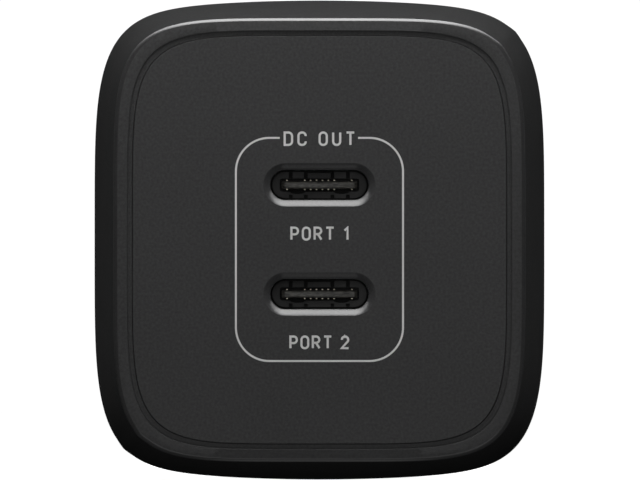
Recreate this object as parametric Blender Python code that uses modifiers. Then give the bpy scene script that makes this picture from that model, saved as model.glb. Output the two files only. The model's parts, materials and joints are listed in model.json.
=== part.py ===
"""USB wall charger with two USB-C ports in front and folding blades behind.

The origin is the middle of the rear face, which rests on the wall. +Y points into the wall, -Y towards
the user, +Z up. Lengths are written in millimetres, and mm() turns them into metres.
"""

import math

import bmesh
import bpy
from mathutils import Matrix, Vector

MM = 0.001
GAP = 0.3
FIT_GAP = 0.1
OVERCUT = 1.0

# Body
BODY_WIDTH = 38.5
BODY_HEIGHT = 41.0
BODY_DEPTH = 52.0
FRONT = -BODY_DEPTH
WALL = 1.8
FLARE_SIDE = 1.9
FLARE_TOP = 1.77
FLARE_DEPTH = 18.0
RIM_RADIUS = 0.4
REAR_RADIUS = 1.2
SEAM = 3.0

# Rounded-square outlines: the body's, with its crowned top and bottom, and the plainer one of the front
OUTLINE_POINTS = 96
CORNER_CROWDING = 0.5
SIDE_POWER = 7.6
CROWN_POWER = 4.52
CROWN_DROP = 0.063
FRONT_POWER = 5.45
CREASE_HEIGHT = 0.08
CREASE_REACH = 0.9

# Front panel in its bezel
PANEL_WIDTH = 31.64
PANEL_HEIGHT = 34.5
PANEL_THICKNESS = 2.0
GROOVE_WIDTH = 0.45
GROOVE_DEPTH = 0.35
LEDGE_WIDTH = 1.4
LEDGE_THICKNESS = 1.3
PEG_RADIUS = 0.9
PEG_LENGTH = 3.0
PEG_X = 11.5
PEG_Z = 12.5

# USB-C ports
PORT_HEIGHTS = {"port_1": 4.67, "port_2": -4.58}
PORT_WIDTH = 8.34
PORT_HEIGHT = 2.56
PORT_CHAMFER = 0.55
PORT_CHAMFER_DEPTH = 0.4
SHELL_WALL = 0.3
SHELL_SETBACK = 0.85
SHELL_LENGTH = 7.3
TONGUE_WIDTH = 6.69
TONGUE_HEIGHT = 0.7
TONGUE_TIP_SETBACK = 1.55
PORT_BASE_LENGTH = 2.0

# Folding blades, NEMA 1-15
PIVOT_Y = -4.0
PIVOT_Z = 7.0
BLADE_SPACING = 12.7
BLADE_WIDTH = 6.35
BLADE_THICKNESS = 1.52
BLADE_LENGTH = 17.0
BLADE_HOLE_RADIUS = 1.6
BLADE_HOLE_FROM_FACE = 11.9
BLADE_TIP_CUT = 1.3
NECK_WIDTH = 4.4
DRUM_RADIUS = 3.6
DRUM_LENGTH = 18.8
DRUM_FLAT = 3.15
DRUM_FLAT_WIDTH = 4.4
DRUM_CLEARANCE = 0.35
JOURNAL_RADIUS = 1.6
JOURNAL_LENGTH = 2.0

# Rear cover with its blade slots
BLOCK_DEPTH = 9.0
BLOCK_WIDTH = 30.4
SLOT_WIDTH = 2.4
SLOT_DEPTH = 8.2
SLOT_BOTTOM = -14.6
SCOOP_TOP = -8.0
SCOOP_HALF_WIDTH = 5.4
SCOOP_DEPTH = 4.6
SPIGOT_WALL = 1.3
SPIGOT_LENGTH = 3.0

# Retainer, springs and wires behind the drum
RETAINER_HEIGHT = 5.2
RETAINER_THICKNESS = 2.7
SCREW_X = 13.6
SCREW_RADIUS = 0.9
SCREW_HEAD_RADIUS = 1.6
SCREW_HEAD_HEIGHT = 1.3
SCREW_LENGTH = 7.2
SPRING_THICKNESS = 0.4
SPRING_WIDTH = 2.2
SPRING_END = -12.6
WIRE_RADIUS = 0.7

# Circuit boards
BOARD_THICKNESS = 1.2
MAIN_BOARD_TOP = -13.9
MAIN_BOARD_HALF_WIDTH = 14.2
MAIN_BOARD_REAR = -12.9
PORT_BOARD_WIDTH = 30.4
PORT_BOARD_HEIGHT = 32.8
PORT_BOARD_FRONT = FRONT + SHELL_SETBACK + SHELL_LENGTH + GAP + 0.65
PORT_BOARD_REAR = PORT_BOARD_FRONT + BOARD_THICKNESS
MAIN_BOARD_FRONT = PORT_BOARD_REAR + GAP
SEAT = MAIN_BOARD_TOP + GAP
LINER_THICKNESS = 0.4

for leftover in list(bpy.data.objects):
    bpy.data.objects.remove(leftover, do_unlink=True)

PARTS = bpy.data.collections.new("usb_wall_charger")
CUTTERS = bpy.data.collections.new("cutters")
for group in (PARTS, CUTTERS):
    bpy.context.scene.collection.children.link(group)


def mm(*values):
    return Vector(values) * MM


def material(name, colour, roughness, metallic=0.0):
    look = bpy.data.materials.new(name)
    look.use_nodes = True
    shader = look.node_tree.nodes["Principled BSDF"]
    shader.inputs["Base Color"].default_value = (*colour, 1.0)
    shader.inputs["Roughness"].default_value = roughness
    shader.inputs["Metallic"].default_value = metallic
    return look


BLACK_PLASTIC = (0.030, 0.030, 0.031)
STEEL = (0.62, 0.62, 0.64)
NICKEL = (0.75, 0.73, 0.68)
FERRITE = (0.045, 0.045, 0.05)
CHIP_BLACK = (0.02, 0.02, 0.022)
BOARD_GREEN = (0.02, 0.16, 0.07)
COPPER = (0.72, 0.36, 0.18)
ALUMINIUM = (0.78, 0.79, 0.80)


# Shapes -------------------------------------------------------------------------------------------------

def mesh_from(name, shape, sharp_angle=35.0):
    mesh = bpy.data.meshes.new(name)
    shape.to_mesh(mesh)
    shape.free()
    mesh.shade_smooth()
    mesh.set_sharp_from_angle(angle=math.radians(sharp_angle))
    return mesh


def box_mesh(name, size):
    shape = bmesh.new()
    bmesh.ops.create_cube(shape, size=1.0, matrix=Matrix.Diagonal((*mm(*size), 1.0)))
    return mesh_from(name, shape)


def rod_mesh(name, radius, length, sides=32):
    shape = bmesh.new()
    bmesh.ops.create_cone(
        shape,
        cap_ends=True,
        segments=sides,
        radius1=radius * MM,
        radius2=radius * MM,
        depth=length * MM,
    )
    return mesh_from(name, shape)


def loft_mesh(name, rings):
    """Closed solid through rings of points. Seen from the last ring, each ring runs anticlockwise."""
    shape = bmesh.new()
    loops = [[shape.verts.new(mm(*point)) for point in ring] for ring in rings]
    count = len(loops[0])
    for near, far in zip(loops, loops[1:]):
        for i in range(count):
            j = (i + 1) % count
            shape.faces.new((near[i], near[j], far[j], far[i]))
    shape.faces.new(list(reversed(loops[0])))
    shape.faces.new(loops[-1])
    return mesh_from(name, shape)


def mesh_of_curve(curve):
    holder = bpy.data.objects.new(curve.name, curve)
    CUTTERS.objects.link(holder)
    evaluated = holder.evaluated_get(bpy.context.evaluated_depsgraph_get())
    mesh = bpy.data.meshes.new_from_object(evaluated)
    bpy.data.objects.remove(holder, do_unlink=True)
    shape = bmesh.new()
    shape.from_mesh(mesh)
    bpy.data.meshes.remove(mesh)
    bmesh.ops.remove_doubles(shape, verts=shape.verts, dist=1e-6)
    return shape


def flat_mesh(name, outlines, thickness):
    """A flat plate from its outlines in local X and Y; an outline inside another is a hole."""
    curve = bpy.data.curves.new(name, "CURVE")
    curve.dimensions = "2D"
    curve.fill_mode = "BOTH"
    curve.extrude = thickness * MM / 2
    for outline in outlines:
        spline = curve.splines.new("POLY")
        spline.points.add(len(outline) - 1)
        spline.use_cyclic_u = True
        for point, (x, y) in zip(spline.points, outline):
            point.co = (x * MM, y * MM, 0.0, 1.0)
    return mesh_from(name, mesh_of_curve(curve))


def pipe_mesh(name, points, radius):
    curve = bpy.data.curves.new(name, "CURVE")
    curve.dimensions = "3D"
    curve.bevel_depth = radius * MM
    curve.bevel_resolution = 2
    curve.use_fill_caps = True
    spline = curve.splines.new("POLY")
    spline.points.add(len(points) - 1)
    for knot, point in zip(spline.points, points):
        knot.co = (*mm(*point), 1.0)
    return mesh_from(name, mesh_of_curve(curve))


def smooth_path(corners, steps=5):
    """Points of a Catmull-Rom curve through the corners."""
    guides = [corners[0], *corners, corners[-1]]
    path = []
    for before, start, end, after in zip(guides, guides[1:], guides[2:], guides[3:]):
        for step in range(steps):
            t = step / steps
            path.append(tuple(
                0.5 * (
                    2 * b
                    + (c - a) * t
                    + (2 * a - 5 * b + 4 * c - d) * t**2
                    + (3 * b - a - 3 * c + d) * t**3
                )
                for a, b, c, d in zip(before, start, end, after)
            ))
    path.append(tuple(corners[-1]))
    return path


def arc(centre, radius, start, end, steps):
    return [
        (
            centre[0] + radius * math.cos(math.radians(start + (end - start) * i / steps)),
            centre[1] + radius * math.sin(math.radians(start + (end - start) * i / steps)),
        )
        for i in range(steps + 1)
    ]


def stadium(width, height, steps=8):
    radius = height / 2
    middle = width / 2 - radius
    return arc((middle, 0), radius, -90, 90, steps) + arc((-middle, 0), radius, 90, 270, steps)


def strip_outline(path, thickness):
    """Outline of a bent strip whose middle line is the path."""
    points = [Vector(point) for point in path]
    sides = []
    for i, point in enumerate(points):
        back = (point - points[i - 1]).normalized() if i else None
        ahead = (points[i + 1] - point).normalized() if i + 1 < len(points) else None
        back = back or ahead
        ahead = ahead or back
        along = (back + ahead).normalized()
        across = Vector((-along.y, along.x)) * (thickness / 2 / along.dot(ahead))
        sides.append((point + across, point - across))
    return [tuple(left) for left, _ in sides] + [tuple(right) for _, right in reversed(sides)]


def outline_reach(u, v, side_power, crown_power, crown_drop):
    """How far an outline lies from the middle in direction (u, v), as a share of the half sizes."""
    low, high = 0.9, 1.4
    for _ in range(40):
        reach = (low + high) / 2
        across = reach * abs(u)
        up = reach * abs(v) / (1 - crown_drop * across**2)
        if across**side_power + up**crown_power > 1:
            high = reach
        else:
            low = reach
    return (low + high) / 2


def unit_outline(side_power, crown_power, crown_drop=0.0):
    """Points of a rounded square with half sizes of 1, closer together near its corners."""
    points = []
    for i in range(OUTLINE_POINTS):
        phase = 2 * math.pi * i / OUTLINE_POINTS
        angle = phase + CORNER_CROWDING / 4 * math.sin(4 * phase)
        u, v = math.cos(angle), math.sin(angle)
        reach = outline_reach(u, v, side_power, crown_power, crown_drop)
        points.append((u * reach, v * reach))
    return points


BODY_OUTLINE = unit_outline(SIDE_POWER, CROWN_POWER, CROWN_DROP)
FRONT_OUTLINE = unit_outline(FRONT_POWER, FRONT_POWER)


def front_outline(half_width, half_height):
    return [(x * half_width, z * half_height) for x, z in FRONT_OUTLINE]


def add_crease(outline, height):
    """Lifts the upper right and lower left corners of the outline to a low edge."""
    corner = Vector(outline[OUTLINE_POINTS // 8])
    creased = []
    for point in map(Vector, outline):
        distance = min((point - corner).length, (point + corner).length)
        lift = height * max(0.0, 1 - distance / CREASE_REACH)
        creased.append(tuple(point * (1 + lift / point.length)))
    return creased


def body_ring(y, inset=0.0, crease=0.0):
    """Section of the body at depth y, drawn in by the inset. Its outline turns into the front's."""
    flare = max(0.0, 1 - (y - FRONT) / FLARE_DEPTH) ** 2
    straight_size = (BODY_WIDTH / 2 - inset, BODY_HEIGHT / 2 - inset)
    front_size = (straight_size[0] - FLARE_SIDE, straight_size[1] - FLARE_TOP)
    outline = []
    for straight, front in zip(BODY_OUTLINE, FRONT_OUTLINE):
        outline.append([
            straight[axis] * straight_size[axis] * (1 - flare) + front[axis] * front_size[axis] * flare
            for axis in (0, 1)
        ])
    return [(x, y, z) for x, z in reversed(add_crease(outline, crease))]


def plug_mesh(name, half_width, half_height, near, far):
    """Straight solid with the front's outline, from y = near to y = far."""
    outline = list(reversed(front_outline(half_width, half_height)))
    return loft_mesh(name, [[(x, y, z) for x, z in outline] for y in (near, far)])


# Placing and combining ----------------------------------------------------------------------------------

def place(obj, location, turn, parent):
    obj.location = mm(*location)
    obj.rotation_euler = [math.radians(angle) for angle in turn]
    obj.parent = parent
    return obj


def add_part(name, mesh, look, location=(0, 0, 0), turn=(0, 0, 0), parent=None):
    obj = bpy.data.objects.new(name, mesh)
    mesh.materials.append(look)
    PARTS.objects.link(obj)
    return place(obj, location, turn, parent)


def add_tool(name, mesh, location=(0, 0, 0), turn=(0, 0, 0), parent=None):
    obj = bpy.data.objects.new(name, mesh)
    CUTTERS.objects.link(obj)
    obj.hide_render = True
    obj.display_type = "WIRE"
    return place(obj, location, turn, parent)


def combine(obj, tool, operation="DIFFERENCE"):
    step = obj.modifiers.new(tool.name, "BOOLEAN")
    step.operation = operation
    step.solver = "EXACT"
    step.object = tool


def middle_and_size(low, high):
    middle = [(a + b) / 2 for a, b in zip(low, high)]
    size = [b - a for a, b in zip(low, high)]
    return middle, size


def add_box(name, low, high, look, bevel=0.0):
    middle, size = middle_and_size(low, high)
    obj = add_part(name, box_mesh(name, size), look, middle)
    if bevel:
        edge = obj.modifiers.new("edges", "BEVEL")
        edge.width = bevel * MM
        edge.segments = 1
    return obj


def box_tool(name, low, high, parent=None):
    middle, size = middle_and_size(low, high)
    return add_tool(name, box_mesh(name, size), middle, parent=parent)


def add_turned(name, profile, look, location, turn=(0, 0, 0), sides=32):
    """Solid of revolution about local Z; the profile lists (radius, height) from top to bottom."""
    mesh = bpy.data.meshes.new(name)
    points = [mm(radius, 0, height) for radius, height in profile]
    mesh.from_pydata(points, [(i, i + 1) for i in range(len(points) - 1)], [])
    obj = add_part(name, mesh, look, location, turn)
    lathe = obj.modifiers.new("lathe", "SCREW")
    lathe.steps = sides
    lathe.render_steps = sides
    lathe.use_merge_vertices = True
    lathe.merge_threshold = 1e-5
    lathe.use_smooth_shade = True
    return obj


def add_plate(name, outline, near, far, look):
    """Flat plate facing Y, whose outline is given in X and Z."""
    mesh = flat_mesh(name, [outline], far - near)
    return add_part(name, mesh, look, (0, (near + far) / 2, 0), (90, 0, 0))


# Body ---------------------------------------------------------------------------------------------------

def rounded_rim(radius, steps):
    """Pairs of depth and inset round a quarter circle, from the flat face to the side."""
    return [
        (
            radius * (1 - math.sin(math.pi / 2 * i / steps)),
            radius * (1 - math.cos(math.pi / 2 * i / steps)),
        )
        for i in range(steps, -1, -1)
    ]


def add_housing(look):
    rings = [body_ring(FRONT + depth, inset, CREASE_HEIGHT) for depth, inset in rounded_rim(RIM_RADIUS, 3)]
    for share in (0.12, 0.25, 0.4, 0.6, 0.8, 1.0):
        rings.append(body_ring(FRONT + FLARE_DEPTH * share, 0.0, CREASE_HEIGHT))
    rear = -SEAM - GAP
    rings.append(body_ring(rear, 0.0, CREASE_HEIGHT))
    housing = add_part("main_housing", loft_mesh("main_housing", rings), look)

    ledge_rear = FRONT + PANEL_THICKNESS + GAP + LEDGE_THICKNESS
    depths = (ledge_rear, FRONT + FLARE_DEPTH * 0.5, FRONT + FLARE_DEPTH, rear + OVERCUT)
    cavity = loft_mesh("housing_cavity", [body_ring(y, WALL) for y in depths])
    combine(housing, add_tool("housing_cavity", cavity))

    steps = {
        "bezel_groove": (GROOVE_WIDTH, GROOVE_DEPTH),
        "panel_pocket": (FIT_GAP, PANEL_THICKNESS + GAP),
        "ledge_opening": (-LEDGE_WIDTH, PANEL_THICKNESS + GAP + LEDGE_THICKNESS + OVERCUT),
    }
    for name, (margin, depth) in steps.items():
        mesh = plug_mesh(
            name, PANEL_WIDTH / 2 + margin, PANEL_HEIGHT / 2 + margin, FRONT - OVERCUT, FRONT + depth
        )
        combine(housing, add_tool(name, mesh))
    return housing


def port_cutter(name, height):
    """Stadium opening whose mouth widens towards the panel's face."""
    narrow = stadium(PORT_WIDTH, PORT_HEIGHT)
    wide = stadium(PORT_WIDTH + 2 * PORT_CHAMFER, PORT_HEIGHT + 2 * PORT_CHAMFER)
    sections = (
        (FRONT - OVERCUT, wide),
        (FRONT, wide),
        (FRONT + PORT_CHAMFER_DEPTH, narrow),
        (FRONT + SHELL_SETBACK, narrow),
    )
    rings = [[(x, y, z + height) for x, z in reversed(section)] for y, section in sections]
    return add_tool(name, loft_mesh(name, rings))


def shell_pocket(name, height):
    """Wider opening at the rear of the panel, for the port's metal shell."""
    margin = 2 * (SHELL_WALL + FIT_GAP)
    outline = stadium(PORT_WIDTH + margin, PORT_HEIGHT + margin)
    near = FRONT + SHELL_SETBACK - FIT_GAP
    far = FRONT + PANEL_THICKNESS + OVERCUT
    rings = [[(x, y, z + height) for x, z in reversed(outline)] for y in (near, far)]
    return add_tool(name, loft_mesh(name, rings))


def add_front_panel(look):
    rear = FRONT + PANEL_THICKNESS
    panel = add_part("front_panel", plug_mesh(
        "front_panel", PANEL_WIDTH / 2, PANEL_HEIGHT / 2, FRONT, rear
    ), look)
    for side, x in enumerate((-PEG_X, PEG_X)):
        for row, z in enumerate((-PEG_Z, PEG_Z)):
            name = f"panel_peg_{side}{row}"
            length = PEG_LENGTH + PANEL_THICKNESS / 2
            peg = rod_mesh(name, PEG_RADIUS, length, 16)
            centre = rear + PEG_LENGTH - length / 2
            combine(panel, add_tool(name, peg, (x, centre, z), (90, 0, 0)), "UNION")
    for port, height in PORT_HEIGHTS.items():
        combine(panel, port_cutter(f"{port}_mouth", height))
        combine(panel, shell_pocket(f"{port}_pocket", height))


def add_rear_cover(look):
    rounding = rounded_rim(REAR_RADIUS, 3)
    rings = [body_ring(-SEAM, 0.0, CREASE_HEIGHT)]
    rings += [body_ring(-depth, inset, CREASE_HEIGHT) for depth, inset in reversed(rounding)]
    cover = add_part("rear_cover", loft_mesh("rear_cover", rings), look)

    spigot_inset = WALL + FIT_GAP
    spigot_ends = (-SEAM - SPIGOT_LENGTH, -SEAM / 2)
    spigot = loft_mesh("cover_spigot", [body_ring(y, spigot_inset) for y in spigot_ends])
    combine(cover, add_tool("cover_spigot", spigot), "UNION")
    hollow_ends = (-SEAM - SPIGOT_LENGTH - OVERCUT, -SEAM)
    hollow_inset = spigot_inset + SPIGOT_WALL
    hollow = loft_mesh("cover_hollow", [body_ring(y, hollow_inset) for y in hollow_ends])
    combine(cover, add_tool("cover_hollow", hollow))

    block_top = PIVOT_Z + DRUM_RADIUS + DRUM_CLEARANCE + 1.3
    block_half = DRUM_LENGTH / 2 + JOURNAL_LENGTH + 1.2
    inside = -SEAM + 0.5
    block_low = (-block_half, -BLOCK_DEPTH, SLOT_BOTTOM - 1.3)
    block = box_tool("slot_block", block_low, (block_half, inside, block_top))
    combine(cover, block, "UNION")
    wings = box_tool(
        "screw_wings",
        (-BLOCK_WIDTH / 2, -BLOCK_DEPTH, PIVOT_Z - RETAINER_HEIGHT / 2),
        (BLOCK_WIDTH / 2, inside, PIVOT_Z + RETAINER_HEIGHT / 2),
    )
    combine(cover, wings, "UNION")

    open_front = -BLOCK_DEPTH - OVERCUT
    drum_half = DRUM_RADIUS + DRUM_CLEARANCE
    drum_side = DRUM_LENGTH / 2 + GAP
    combine(cover, box_tool(
        "drum_window",
        (-drum_side, open_front, PIVOT_Z - drum_half),
        (drum_side, OVERCUT, PIVOT_Z + drum_half),
    ))
    journal_half = JOURNAL_RADIUS + FIT_GAP
    journal_side = DRUM_LENGTH / 2 + JOURNAL_LENGTH + GAP
    cradle = rod_mesh("journal_cradle", journal_half, 2 * journal_side)
    combine(cover, add_tool("journal_cradle", cradle, (0, PIVOT_Y, PIVOT_Z), (0, 90, 0)))
    combine(cover, box_tool(
        "journal_slot",
        (-journal_side, open_front, PIVOT_Z - journal_half),
        (journal_side, PIVOT_Y, PIVOT_Z + journal_half),
    ))
    for name, x in blade_places().items():
        combine(cover, box_tool(
            f"{name}_slot",
            (x - SLOT_WIDTH / 2, -SLOT_DEPTH, SLOT_BOTTOM),
            (x + SLOT_WIDTH / 2, OVERCUT, PIVOT_Z),
        ))
    combine(cover, box_tool(
        "finger_scoop",
        (-SCOOP_HALF_WIDTH, -SCOOP_DEPTH, SLOT_BOTTOM),
        (SCOOP_HALF_WIDTH, OVERCUT, SCOOP_TOP),
    ))
    for side, x in enumerate((-SCREW_X, SCREW_X), 1):
        name = f"screw_hole_{side}"
        hole = rod_mesh(name, SCREW_RADIUS + FIT_GAP, BLOCK_DEPTH, 16)
        combine(cover, add_tool(name, hole, (x, -BLOCK_DEPTH, PIVOT_Z), (90, 0, 0)))


def add_liner(look):
    near = MAIN_BOARD_FRONT
    far = -BLOCK_DEPTH - 1.6
    depths = (near, FRONT + FLARE_DEPTH, far)
    outer = [body_ring(y, WALL + GAP) for y in depths]
    liner = add_part("insulation_liner", loft_mesh("insulation_liner", outer), look)
    inner_depths = (near - OVERCUT, near, FRONT + FLARE_DEPTH, far + OVERCUT)
    inner = [body_ring(y, WALL + GAP + LINER_THICKNESS) for y in inner_depths]
    combine(liner, add_tool("liner_hollow", loft_mesh("liner_hollow", inner)))


# Ports --------------------------------------------------------------------------------------------------

def add_port(port, height, shell_look, tongue_look):
    near = FRONT + SHELL_SETBACK
    far = near + SHELL_LENGTH
    outer = stadium(PORT_WIDTH + 2 * SHELL_WALL, PORT_HEIGHT + 2 * SHELL_WALL)
    inner = stadium(PORT_WIDTH, PORT_HEIGHT)
    name = f"{port}_shell"
    mesh = flat_mesh(name, [outer, inner], far - near)
    add_part(name, mesh, shell_look, (0, (near + far) / 2, height), (90, 0, 0))

    base = stadium(PORT_WIDTH - 2 * FIT_GAP, PORT_HEIGHT - 2 * FIT_GAP)
    name = f"{port}_tongue"
    mesh = flat_mesh(name, [base], PORT_BASE_LENGTH)
    tongue = add_part(name, mesh, tongue_look, (0, far - PORT_BASE_LENGTH / 2, height), (90, 0, 0))
    tip = FRONT + TONGUE_TIP_SETBACK
    combine(tongue, box_tool(
        f"{port}_blade",
        (-TONGUE_WIDTH / 2, tip, height - TONGUE_HEIGHT / 2),
        (TONGUE_WIDTH / 2, far - PORT_BASE_LENGTH / 2, height + TONGUE_HEIGHT / 2),
    ), "UNION")


# Folding plug -------------------------------------------------------------------------------------------

def blade_places():
    return {"blade_live": BLADE_SPACING / 2, "blade_neutral": -BLADE_SPACING / 2}


def blade_outline():
    """Blade seen from the side: along its length, then across its width, from the pivot."""
    half = BLADE_WIDTH / 2
    neck = NECK_WIDTH / 2
    shoulder = DRUM_RADIUS + FIT_GAP
    tip = BLADE_LENGTH - PIVOT_Y
    heel_radius = DRUM_RADIUS - FIT_GAP
    heel_angle = math.degrees(math.asin(neck / heel_radius))
    heel = arc((0, 0), heel_radius, 180 - heel_angle, 180 + heel_angle, 8)
    front = [
        (shoulder, -neck),
        (shoulder, -half),
        (tip - BLADE_TIP_CUT, -half),
        (tip, -half + BLADE_TIP_CUT),
        (tip, half - BLADE_TIP_CUT),
        (tip - BLADE_TIP_CUT, half),
        (shoulder, half),
        (shoulder, neck),
    ]
    return heel + front


def add_plug(drum_look, blade_look):
    pivot = bpy.data.objects.new("prong_pivot", None)
    PARTS.objects.link(pivot)
    place(pivot, (0, PIVOT_Y, PIVOT_Z), (0, 0, 0), None)

    drum = add_part("prong_carrier", rod_mesh("prong_carrier", DRUM_RADIUS, DRUM_LENGTH, 48), drum_look,
                    turn=(0, 90, 0), parent=pivot)
    journals = rod_mesh("journals", JOURNAL_RADIUS, DRUM_LENGTH + 2 * JOURNAL_LENGTH, 32)
    combine(drum, add_tool("journals", journals, turn=(0, 90, 0), parent=pivot), "UNION")
    flat_side = DRUM_FLAT_WIDTH / 2
    beyond = DRUM_RADIUS + OVERCUT
    combine(drum, box_tool(
        "flat_extended", (-flat_side, -beyond, -beyond), (flat_side, -DRUM_FLAT, beyond), pivot
    ))
    combine(drum, box_tool(
        "flat_folded", (-flat_side, -beyond, -beyond), (flat_side, beyond, -DRUM_FLAT), pivot
    ))

    hole = arc((BLADE_HOLE_FROM_FACE - PIVOT_Y, 0), BLADE_HOLE_RADIUS, 0, 360 - 360 / 24, 23)
    pocket_side = BLADE_THICKNESS / 2 + FIT_GAP / 2
    pocket_half = NECK_WIDTH / 2 + FIT_GAP / 2
    for name, x in blade_places().items():
        combine(drum, box_tool(
            f"{name}_pocket",
            (x - pocket_side, -beyond, -pocket_half),
            (x + pocket_side, beyond, pocket_half),
            pivot,
        ))
        mesh = flat_mesh(name, [blade_outline(), hole], BLADE_THICKNESS)
        add_part(name, mesh, blade_look, (x, 0, 0), (90, 0, 90), pivot)


def add_retainer(look, screw_look):
    near = -BLOCK_DEPTH - GAP - RETAINER_THICKNESS
    far = -BLOCK_DEPTH - GAP
    half = RETAINER_HEIGHT / 2
    retainer = add_box(
        "carrier_retainer",
        (-BLOCK_WIDTH / 2, near, PIVOT_Z - half),
        (BLOCK_WIDTH / 2, far, PIVOT_Z + half),
        look,
    )
    inner = DRUM_LENGTH / 2 + 2 * FIT_GAP
    outer = DRUM_LENGTH / 2 + JOURNAL_LENGTH
    for side in (-1, 1):
        edges = sorted((side * inner, side * outer))
        finger = box_tool(
            f"journal_finger_{(side + 3) // 2}",
            (edges[0], near + 1, PIVOT_Z - JOURNAL_RADIUS + FIT_GAP),
            (edges[1], PIVOT_Y - JOURNAL_RADIUS - GAP, PIVOT_Z + JOURNAL_RADIUS - FIT_GAP),
        )
        combine(retainer, finger, "UNION")
    for side, x in enumerate((-SCREW_X, SCREW_X), 1):
        name = f"retainer_hole_{side}"
        hole = rod_mesh(name, SCREW_RADIUS + 2 * FIT_GAP, 2 * RETAINER_THICKNESS, 16)
        combine(retainer, add_tool(name, hole, (x, (near + far) / 2, PIVOT_Z), (90, 0, 0)))
        head = [(0, 0), (SCREW_HEAD_RADIUS * 0.8, 0), (SCREW_HEAD_RADIUS, -SCREW_HEAD_HEIGHT * 0.4)]
        collar = [(SCREW_HEAD_RADIUS, -SCREW_HEAD_HEIGHT), (SCREW_RADIUS, -SCREW_HEAD_HEIGHT)]
        tip = -SCREW_HEAD_HEIGHT - SCREW_LENGTH
        shank = [(SCREW_RADIUS, tip + SCREW_RADIUS), (SCREW_RADIUS * 0.4, tip), (0, tip)]
        head_y = near - FIT_GAP - SCREW_HEAD_HEIGHT
        screw = add_turned(
            f"retainer_screw_{side}", head + collar + shank, screw_look, (x, head_y, PIVOT_Z), (90, 0, 0), 24
        )
        drive = rod_mesh(f"screw_drive_{side}", SCREW_RADIUS * 0.8, SCREW_HEAD_HEIGHT, 6)
        combine(screw, add_tool(f"screw_drive_{side}", drive, (x, head_y, PIVOT_Z), (90, 0, 0)))


def add_spring(name, x, path, width, look):
    """Bent leaf whose path is given in Y and Z."""
    mesh = flat_mesh(name, [strip_outline(path, SPRING_THICKNESS)], width)
    add_part(name, mesh, look, (x, 0, 0), (90, 0, 90))


def add_springs(look):
    leaf = PIVOT_Y - DRUM_RADIUS - GAP - SPRING_THICKNESS / 2
    top = PIVOT_Z + RETAINER_HEIGHT / 2 + GAP + SPRING_THICKNESS
    contact = [(leaf - 0.5, PIVOT_Z - 2.9), (leaf, PIVOT_Z - 1.8), (leaf, top - 0.3), (leaf - 0.3, top)]
    contact.append((SPRING_END, top))
    for name, x in blade_places().items():
        side = name.removeprefix("blade_")
        add_spring(f"contact_spring_{side}", x, contact, SPRING_WIDTH, look)
    half = RETAINER_HEIGHT / 2 - 0.8
    seat = -BLOCK_DEPTH
    detent = [(seat, PIVOT_Z - half), (leaf, PIVOT_Z - 0.7), (leaf, PIVOT_Z + 0.7), (seat, PIVOT_Z + half)]
    add_spring("detent_spring", 0.0, detent, DRUM_FLAT_WIDTH - 2 * GAP, look)


def add_wires(looks):
    plane = SPRING_END - GAP - WIRE_RADIUS
    top = PIVOT_Z + RETAINER_HEIGHT / 2 + GAP + SPRING_THICKNESS
    for name, x in blade_places().items():
        side = name.removeprefix("blade_")
        reach = math.copysign(1.0, x)
        corners = [
            (x, plane, top + 0.4),
            (x + 2.6 * reach, plane, top - 5.0),
            (x + 3.2 * reach, plane, -4.0),
            (x + 2.0 * reach, plane, SEAT),
        ]
        mesh = pipe_mesh(f"wire_{side}", smooth_path(corners), WIRE_RADIUS)
        add_part(f"wire_{side}", mesh, looks[side])


# Electronics --------------------------------------------------------------------------------------------

def add_boards(look):
    add_box(
        "main_board",
        (-MAIN_BOARD_HALF_WIDTH, MAIN_BOARD_FRONT, MAIN_BOARD_TOP - BOARD_THICKNESS),
        (MAIN_BOARD_HALF_WIDTH, MAIN_BOARD_REAR, MAIN_BOARD_TOP),
        look,
    )
    outline = front_outline(PORT_BOARD_WIDTH / 2, PORT_BOARD_HEIGHT / 2)[::2]
    add_plate("port_board", outline, PORT_BOARD_FRONT, PORT_BOARD_REAR, look)


def add_transformer(ferrite, plastic, copper):
    centre = (-5.0, -28.4)
    half_x, half_y = 8.4, 5.6
    bottom, top = SEAT, 1.4
    middle = (bottom + top) / 2
    plate = 2.4
    leg = 2.2
    post_radius = 2.8
    for name, outer, inner in (
        ("transformer_core_lower", bottom, middle - FIT_GAP),
        ("transformer_core_upper", top, middle + FIT_GAP),
    ):
        inward = math.copysign(plate, inner - outer)
        low, high = sorted((outer, outer + inward))
        core = add_box(
            name,
            (centre[0] - half_x, centre[1] - half_y, low),
            (centre[0] + half_x, centre[1] + half_y, high),
            ferrite,
        )
        low, high = sorted((outer + inward / 2, inner))
        for side in (-1, 1):
            edges = sorted((centre[0] + side * half_x, centre[0] + side * (half_x - leg)))
            combine(core, box_tool(
                f"{name}_leg_{(side + 3) // 2}",
                (edges[0], centre[1] - half_y, low),
                (edges[1], centre[1] + half_y, high),
            ), "UNION")
        post = rod_mesh(f"{name}_post", post_radius, high - low, 24)
        combine(core, add_tool(f"{name}_post", post, (*centre, (low + high) / 2)), "UNION")

    spool_top = top - plate - GAP
    spool_bottom = bottom + plate + GAP
    tube = post_radius + 2 * GAP
    bore = post_radius + GAP / 2
    flange = half_x - leg - GAP
    rim = 0.7
    spool = [
        (bore, spool_top), (flange, spool_top), (flange, spool_top - rim), (tube, spool_top - rim),
        (tube, spool_bottom + rim), (flange, spool_bottom + rim), (flange, spool_bottom),
        (bore, spool_bottom), (bore, spool_top),
    ]
    add_turned("transformer_bobbin", spool, plastic, (*centre, 0), sides=32)
    wound = flange - 0.6
    high, low = spool_top - rim - FIT_GAP, spool_bottom + rim + FIT_GAP
    inner = tube + FIT_GAP
    coil = [(inner, high), (wound, high), (wound, low), (inner, low), (inner, high)]
    add_turned("transformer_winding", coil, copper, (*centre, 0), sides=32)


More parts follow.
